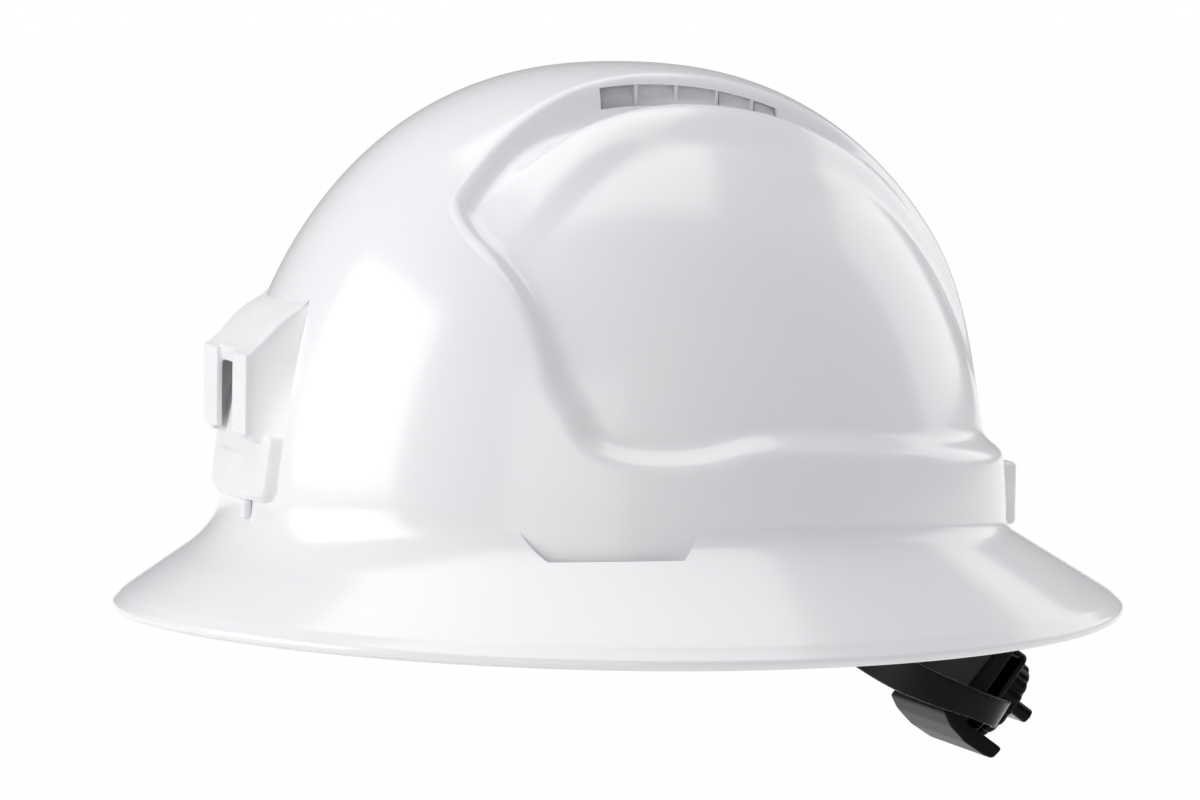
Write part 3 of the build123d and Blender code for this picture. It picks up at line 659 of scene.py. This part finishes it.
bracket = {"voxel": 0.45, "rounds": 8, "halfWidth": 30.3, "upperHalfWidth": 25.0, "flank": 3.2, "low": 88.0,
           "ledge": 109.0, "high": 137.0, "corner": 5.0, "proud": 1.25, "edgeProud": 2.0,
           "roofFront": -131.6, "roofLow": 134.6, "roofHigh": 151.0, "roofSwell": 3.2, "roofEdge": 3.2,
           "cheekFoot": 34.2, "cheekTop": 26.5, "cheekWall": 3.0, "cheekDrop": 2, "cheekShort": 1.5,
           "ledgeSoft": 0.6, "narrowing": 3, "footSoft": 2.0, "tuck": 0.35, "backing": 1.2,
           "roofBury": 1.5, "roofThick": 4.5}


def crownY(x, z, inset):
    height = (z - crown["base"]) / (crown["height"] - inset)
    q = (1 - height ** 2) ** (1 / crown["roundness"])
    a, b = (crown["halfWidth"] - inset) * q, (crown["halfLength"] - inset) * q
    return crown["setback"] - b * math.sqrt(1 - (x / a) ** 2)


def bracketPlate():
    k = bracket
    wide = k["halfWidth"] + k["flank"]
    columns, rows, soft = 120, 84, k["ledgeSoft"]
    xs = [-wide + 2 * wide * i / columns for i in range(columns + 1)]
    front, back = [], []
    for z in evenly(k["low"], k["high"], rows):
        for x in xs:
            # distance inside the rounded outline sets how far the plate stands out
            narrow = k["halfWidth"] - k["upperHalfWidth"]
            narrow *= float(ease(z, k["ledge"] - soft, k["ledge"] + soft))
            narrow += k["narrowing"] * float(ease(z, k["ledge"], k["high"]))
            dx, dz = wide - narrow - abs(x), z - k["low"]
            corner = k["corner"]
            inside = min(dx, dz)
            if dx < corner and dz < corner:
                inside = corner - math.hypot(corner - dx, corner - dz)
            rise = float(ease(inside, 0.0, k["flank"] if dx < dz else k["footSoft"]))
            proud = k["proud"] + k["edgeProud"] * min(1, abs(x) / k["halfWidth"]) ** 2 * (1 - narrow / 8)
            y = crownY(x, z, 0.0)
            front.append((x, y - proud * rise + k["tuck"] * (1 - rise), z))
            back.append((x, y + k["backing"], z))
    return closedSheet("plate", front, back, columns, rows)


def bracketRoof():
    # the roof runs up to the crown all the way across, and rounds over at its two sides
    k = bracket
    columns, rows, wide = 60, 24, k["upperHalfWidth"]
    top, under = [], []
    for j in range(rows + 1):
        for i in range(columns + 1):
            x = -wide + 2 * wide * i / columns
            t = j / rows
            back = crownY(x, k["roofHigh"], 0.0) + k["roofBury"]
            over = max(0.0, 1 - (wide - abs(x)) / k["roofEdge"])
            z = k["roofLow"] + (k["roofHigh"] - k["roofLow"]) * t + k["roofSwell"] * 4 * t * (1 - t)
            z -= k["roofEdge"] * 0.5 * (1 - math.sqrt(max(0.0, 1 - over ** 2)))
            y = k["roofFront"] + (back - k["roofFront"]) * t
            top.append((x, y, z))
            under.append((x, y + 0.6, z - k["roofThick"]))
    return closedSheet("roof", top, under, columns, rows)


def bracketCheek(side):
    # the side face flares from the channel's wall out to the crown
    k = bracket
    columns, rows = 12, 60
    face, hidden = [], []
    for j, z in enumerate(evenly(k["ledge"] - k["cheekDrop"], k["roofHigh"] - k["cheekShort"], rows)):
        t = j / rows
        xOut = k["cheekFoot"] + (k["cheekTop"] - k["cheekFoot"]) * t ** 1.3
        roofZ = max(0.0, min(1.0, (z - k["roofLow"]) / (k["roofHigh"] - k["roofLow"])))
        xIn = k["upperHalfWidth"]
        yIn = k["roofFront"] + (crownY(xIn, k["roofHigh"], 0.0) - k["roofFront"]) * roofZ
        yOut = crownY(xOut, z, 0.0) + 0.3
        yIn = min(yIn, yOut - 0.2)
        for i in range(columns + 1):
            u = i / columns
            x = xIn + (xOut - xIn) * u ** 1.6
            y = yIn + (yOut - yIn) * u
            face.append((side * x, y, z))
            hidden.append((side * (x - k["cheekWall"]), y + 1.0, z))
    return closedSheet("cheek" + str(side), face, hidden, columns, rows)


def closedSheet(name, front, back, columns, rows):
    count = len(front)
    verts = [Vector(v) * mm for v in front + back]
    faces, n = [], columns + 1
    for j in range(rows):
        for i in range(columns):
            a = j * n + i
            faces.append((a, a + 1, a + n + 1, a + n))
            faces.append((count + a, count + a + n, count + a + n + 1, count + a + 1))
    rim = list(range(n)) + [r * n + columns for r in range(1, rows + 1)]
    rim += [rows * n + i for i in range(columns - 1, -1, -1)] + [r * n for r in range(rows - 1, 0, -1)]
    for a, b in zip(rim, rim[1:] + rim[:1]):
        faces.append((b, a, count + a, count + b))
    return facesOut(makeObject(name, verts, faces))


def lampBracket():
    obj = softened("lampBracket", ["lamp_bracket"], bracket["voxel"], bracket["rounds"],
                   [bracketPlate(), bracketRoof(), bracketCheek(1), bracketCheek(-1)])
    dress(obj, bracketPlastic)
    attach(obj, "helmet")
    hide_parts("lamp_bracket")


lampBracket()
print("bracket made")


# pieces whose solids only need moulded edges: (voxel, smoothing rounds, finish, slot, body)
moulding = {
    "nape_pad": (0.55, 10, padRubber, "pad", "nape_frame"),
    "ratchet_cover": (0.4, 4, ratchetPlastic, "ratchet", "nape_frame"),
    "ratchet_back_plate": (0.4, 3, ratchetPlastic, "ratchet", "nape_frame"),
    "ratchet_knob": (0.35, 4, ratchetPlastic, "ratchet", "knob"),
    "bracket_pin": (0.25, 3, bracketPlastic, "bracket", "helmet")}


def camelName(node):
    first, *rest = node.split("_")
    return first + "".join(word.capitalize() for word in rest)


for node, (voxel, rounds, finish, slotName, body) in moulding.items():
    obj = softened(camelName(node), [node], voxel, rounds)
    dress(obj, finish)
    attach(obj, body)
    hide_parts(node)
for place in ("front", "middle", "rear"):
    for side in ("left", "right"):
        node = "hanger_" + place + "_" + side
        obj = softened(camelName(node), [node], 0.45, 3)
        dress(obj, suspensionPlastic)
        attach(obj, "helmet")
        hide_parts(node)
print("moulded pieces made")


# nape arms: moulded copies of the arms, whose ends lap over the racks
arms = {"voxel": 0.5, "rounds": 4, "blendFrom": 70.0, "blendTo": 104.0, "end": 30.3, "easeOut": 34.0,
        "overlap": 1.2, "startX": 60.0, "endX": 36.0, "startHeight": 34.0, "endHeight": 24.0}
for side in ("left", "right"):
    obj = softened("napeArm" + side.capitalize(), ["nape_arm_" + side], arms["voxel"], arms["rounds"])
    for vertex in obj.data.vertices:              # the arm's end laps over the end of its rack
        out = abs(vertex.co.x) / mm
        if out < arms["easeOut"]:
            lap = arms["overlap"] * min(1.0, (arms["easeOut"] - out) / (arms["easeOut"] - arms["end"]))
            vertex.co.x -= math.copysign(lap * mm, vertex.co.x)
    dress(obj, ratchetPlastic)
    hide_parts("nape_arm_" + side)
    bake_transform(obj)
print("nape arms made")


# headband: a beaded oval, open at the rear, with a boss for each pivot pin
headband = {"halfWidth": 78.0, "halfLength": 93.5, "rear": 45.0, "low": 53.0, "high": 81.0, "thick": 2.0,
            "bead": 0.35, "bossRadius": 6.5, "bossInner": 68.6, "bossOuter": 76.2, "pivot": (33.0, 58.0),
            "pinHole": 3.1, "steps": 200, "length": 320, "endRound": 6, "endThin": 0.55, "beadWide": 2.4}


def circle(radius, count):
    turns = [2 * math.pi * i / count for i in range(count)]
    return [(radius * math.cos(t), radius * math.sin(t)) for t in turns]


def ovalRun(halfWidth, halfLength, rear, count):
    stop = math.asin((rear - crown["setback"]) / halfLength)
    turns = [math.pi - stop + (math.pi + 2 * stop) * k / count for k in range(count + 1)]
    points = [Vector((halfWidth * math.cos(t), crown["setback"] + halfLength * math.sin(t), 0))
              for t in turns]
    outs = [Vector((math.cos(t) / halfWidth, math.sin(t) / halfLength, 0)).normalized() for t in turns]
    return points, outs


def endShare(n, count, k):
    # 1 along the band, and down to its thin share at each rounded end
    near = min(n, count - n) / k["steps"] * k["length"]
    if near >= k["endRound"]:
        return 1.0
    return k["endThin"] + (1 - k["endThin"]) * math.sqrt(max(0, 1 - (1 - near / k["endRound"]) ** 2))


def headbandPiece():
    k = headband
    points, outs = ovalRun(k["halfWidth"], k["halfLength"], k["rear"], k["steps"])
    middle, tall = (k["low"] + k["high"]) / 2, k["high"] - k["low"]
    centres = [p + Vector((0, 0, middle)) for p in points]
    sections = []
    for n in range(len(points)):
        end = endShare(n, len(points) - 1, k)
        sections.append([(t, w * end) for t, w in bandSection(k["thick"], tall, k["bead"], k["beadWide"])])
    obj = sweep("headbandRing", centres, outs, [Vector((0, 0, 1))] * len(points), sections)
    dress(obj, suspensionPlastic)
    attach(obj, "helmet")
    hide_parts("headband")
    for side in (1, -1):
        ring, hole = circle(k["bossRadius"], 40), circle(k["pinHole"], 32)
        low, high = sorted((side * k["bossInner"], side * k["bossOuter"]))
        centre = (0, k["pivot"][0], k["pivot"][1])
        name = "headbandBoss" + ("Left" if side > 0 else "Right")
        boss = prism(name, ring, centre, (0, 1, 0), (0, 0, 1), low, high)
        cutBy(boss, [prism("hole", hole, centre, (0, 1, 0), (0, 0, 1), low - 1, high + 1)])
        bevelled(boss, 0.5, 2, 50)
        dress(boss, suspensionPlastic)
        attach(boss, "helmet")


headbandPiece()
print("headband made")


# sweatband: padded cloth inside the front of the headband
sweatband = {"halfWidth": 75.4, "halfLength": 90.9, "rear": -20.0, "low": 51.5, "high": 82.5, "thick": 2.6,
             "swell": 1.1, "steps": 150, "length": 220, "endRound": 8, "endThin": 0.5}


def sweatbandPiece():
    k = sweatband
    points, outs = ovalRun(k["halfWidth"], k["halfLength"], k["rear"], k["steps"])
    middle, tall = (k["low"] + k["high"]) / 2, k["high"] - k["low"]
    centres = [p + Vector((0, 0, middle)) for p in points]
    ins = [-o for o in outs]
    sections = []
    for n in range(len(points)):
        end = endShare(n, len(points) - 1, k)
        section = bandSection(k["thick"], tall, swell=k["swell"] * end)
        sections.append([(t * (0.5 + 0.5 * end), w * end) for t, w in section])
    obj = sweep("sweatbandPad", centres, ins, [Vector((0, 0, 1))] * len(points), sections)
    dress(obj, sweatCloth)
    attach(obj, "helmet")
    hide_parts("sweatband")


sweatbandPiece()
print("sweatband made")


# crown straps: woven webbing over the head
strap = {"width": 19.0, "thick": 1.3, "gap": 34.0, "step": 1.8, "inset": 6.5, "foot": 84.4,
         "clear": 0.5, "bead": 0.12, "beadWide": 1.6, "steps": 120}


def crownStraps():
    k = strap
    rise = crown["height"] - k["gap"] + crown["base"] - k["foot"]
    for n, angle in enumerate(socket["angles"]):
        foot, out, _ = wallFrame(angle, crown["wall"])
        seat = foot - out * (socket["depth"] / 2 + k["inset"])
        span = seat - Vector((0, crown["setback"], 0))
        along, half = span.normalized(), span.length
        side = Vector((-along.y, along.x, 0))
        tall = rise - n * k["step"] - k["clear"]
        centres, outs = [], []
        for i in range(k["steps"] + 1):
            t = math.pi * i / k["steps"]
            centres.append(Vector((0, crown["setback"], k["foot"])) + along * (half * math.cos(t))
                           + Vector((0, 0, tall * math.sin(t))))
            outs.append((along * (math.cos(t) / half) + Vector((0, 0, math.sin(t) / tall))).normalized())
        section = bandSection(k["thick"], k["width"], k["bead"], k["beadWide"])
        obj = sweep("crownStrap" + str(n + 1), centres, outs, [side] * len(centres), section)
        dress(obj, webbingCloth)
        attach(obj, "helmet")
        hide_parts("crown_strap_" + str(n + 1))


crownStraps()
print("crown straps made")

# finishes of the carried-over pieces
nodeFinish = {"lamp_bracket": bracketPlastic, "bracket_pin": bracketPlastic,
              "bracket_rivet_left": steelFinish, "bracket_rivet_right": steelFinish,
              "headband": suspensionPlastic, "sweatband": sweatCloth, "knob_screw": steelFinish,
              "nape_pad": padRubber}
for node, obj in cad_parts.items():
    if node.startswith("hanger"):
        dress(obj, suspensionPlastic)
    elif node.startswith("crown_strap"):
        dress(obj, webbingCloth)
    elif node in nodeFinish:
        dress(obj, nodeFinish[node])
    elif node != "shell":
        dress(obj, ratchetPlastic)
print("finishes given")

# studio: pale floor, soft lamps, camera
studio = {"floorSize": 12.0, "floorColor": (0.93, 0.93, 0.93), "floorGlow": 0.985, "world": 0.30}


def stage():
    s = studio
    bm = bmesh.new()
    bmesh.ops.create_grid(bm, x_segments=2, y_segments=2, size=s["floorSize"] / 2)
    floor = fromBmesh("studioFloor", bm, smooth=False)
    material = bpy.data.materials.new("paleFloor")
    material.use_nodes = True
    tree = material.node_tree
    tree.nodes.clear()
    output = tree.nodes.new("ShaderNodeOutputMaterial")
    diffuse = tree.nodes.new("ShaderNodeBsdfDiffuse")
    diffuse.inputs["Color"].default_value = (*s["floorColor"], 1)
    white = tree.nodes.new("ShaderNodeEmission")
    white.inputs["Color"].default_value = (1, 1, 1, 1)
    white.inputs["Strength"].default_value = 1.0
    mix = tree.nodes.new("ShaderNodeMixShader")
    path = tree.nodes.new("ShaderNodeLightPath")
    seen = tree.nodes.new("ShaderNodeMath")
    seen.operation = "MAXIMUM"
    tree.links.new(path.outputs["Is Camera Ray"], seen.inputs[0])
    tree.links.new(path.outputs["Is Glossy Ray"], seen.inputs[1])
    scaled = tree.nodes.new("ShaderNodeMath")
    scaled.operation = "MULTIPLY"
    scaled.inputs[1].default_value = s["floorGlow"]
    tree.links.new(seen.outputs["Value"], scaled.inputs[0])
    tree.links.new(scaled.outputs["Value"], mix.inputs["Fac"])
    tree.links.new(diffuse.outputs["BSDF"], mix.inputs[1])
    tree.links.new(white.outputs["Emission"], mix.inputs[2])
    tree.links.new(mix.outputs["Shader"], output.inputs["Surface"])
    dress(floor, material)


def worldLight():
    world = bpy.data.worlds.new("studioWorld")
    bpy.context.scene.world = world
    world.use_nodes = True
    tree = world.node_tree
    tree.nodes.clear()
    output = tree.nodes.new("ShaderNodeOutputWorld")
    dim = tree.nodes.new("ShaderNodeBackground")
    dim.inputs["Color"].default_value = (0.95, 0.97, 1.0, 1)
    dim.inputs["Strength"].default_value = studio["world"]
    bright = tree.nodes.new("ShaderNodeBackground")
    bright.inputs["Color"].default_value = (1, 1, 1, 1)
    bright.inputs["Strength"].default_value = 1.0
    mix = tree.nodes.new("ShaderNodeMixShader")
    path = tree.nodes.new("ShaderNodeLightPath")
    tree.links.new(path.outputs["Is Camera Ray"], mix.inputs["Fac"])
    tree.links.new(dim.outputs["Background"], mix.inputs[1])
    tree.links.new(bright.outputs["Background"], mix.inputs[2])
    tree.links.new(mix.outputs["Shader"], output.inputs["Surface"])


lamps = {"frontSoftbox": {"place": (0.0, -2.2, 0.9), "size": (1.9, 1.5), "watts": 30.0},
         "sideSoftbox": {"place": (2.63, -0.96, 0.62), "size": (1.5, 1.5), "watts": 8.0},
         "topSoftbox": {"place": (0.0, 0.0, 2.0), "size": (1.8, 1.8), "watts": 19.0},
         "rearSoftbox": {"place": (-0.7, 2.0, 0.9), "size": (1.6, 1.3), "watts": 7.0},
         "rearFill": {"place": (-0.7, 2.0, 0.9), "size": (1.6, 1.3), "watts": 18.0, "inGloss": False}}
aim = Vector((0, 0, 0.12))


def lampsOn():
    for name, lamp in lamps.items():
        light = bpy.data.lights.new(name, "AREA")
        light.shape = "RECTANGLE"
        light.size, light.size_y = lamp["size"]
        light.energy = lamp["watts"]
        obj = bpy.data.objects.new(name, light)
        obj.location = lamp["place"]
        obj.visible_glossy = lamp.get("inGloss", True)   # the fill leaves no second highlight
        obj.rotation_euler = (aim - Vector(lamp["place"])).to_track_quat("-Z", "Y").to_euler()
        bpy.context.scene.collection.objects.link(obj)


view = {"azimuth": 72.0, "elevation": 4.8, "roll": 0.816, "distance": 2.5, "lens": 232.5,
        "target": (0, 0, 0.139), "right": 0.0078, "up": 0.0223}


def cameraAtPhoto():
    v = view
    a, e, roll = (math.radians(v[k]) for k in ("azimuth", "elevation", "roll"))
    toward = Vector((math.sin(a) * math.cos(e), -math.cos(a) * math.cos(e), math.sin(e)))
    right = Vector((math.cos(a), math.sin(a), 0))
    up = toward.cross(right)
    tiltedRight = right * math.cos(roll) + up * math.sin(roll)
    tiltedUp = up * math.cos(roll) - right * math.sin(roll)
    place = Vector(v["target"]) - tiltedRight * v["right"] - tiltedUp * v["up"] + toward * v["distance"]
    data = bpy.data.cameras.new("photoCamera")
    data.lens = v["lens"]
    data.sensor_width = 36.0
    data.clip_end = 50
    camera = bpy.data.objects.new("photoCamera", data)
    turn = Matrix((tiltedRight, tiltedUp, toward)).transposed().to_4x4()
    camera.matrix_world = Matrix.Translation(place) @ turn
    bpy.context.scene.collection.objects.link(camera)
    bpy.context.scene.camera = camera


stage()
worldLight()
lampsOn()
cameraAtPhoto()
bpy.context.scene.view_settings.view_transform = "Standard"
print("studio and camera set")
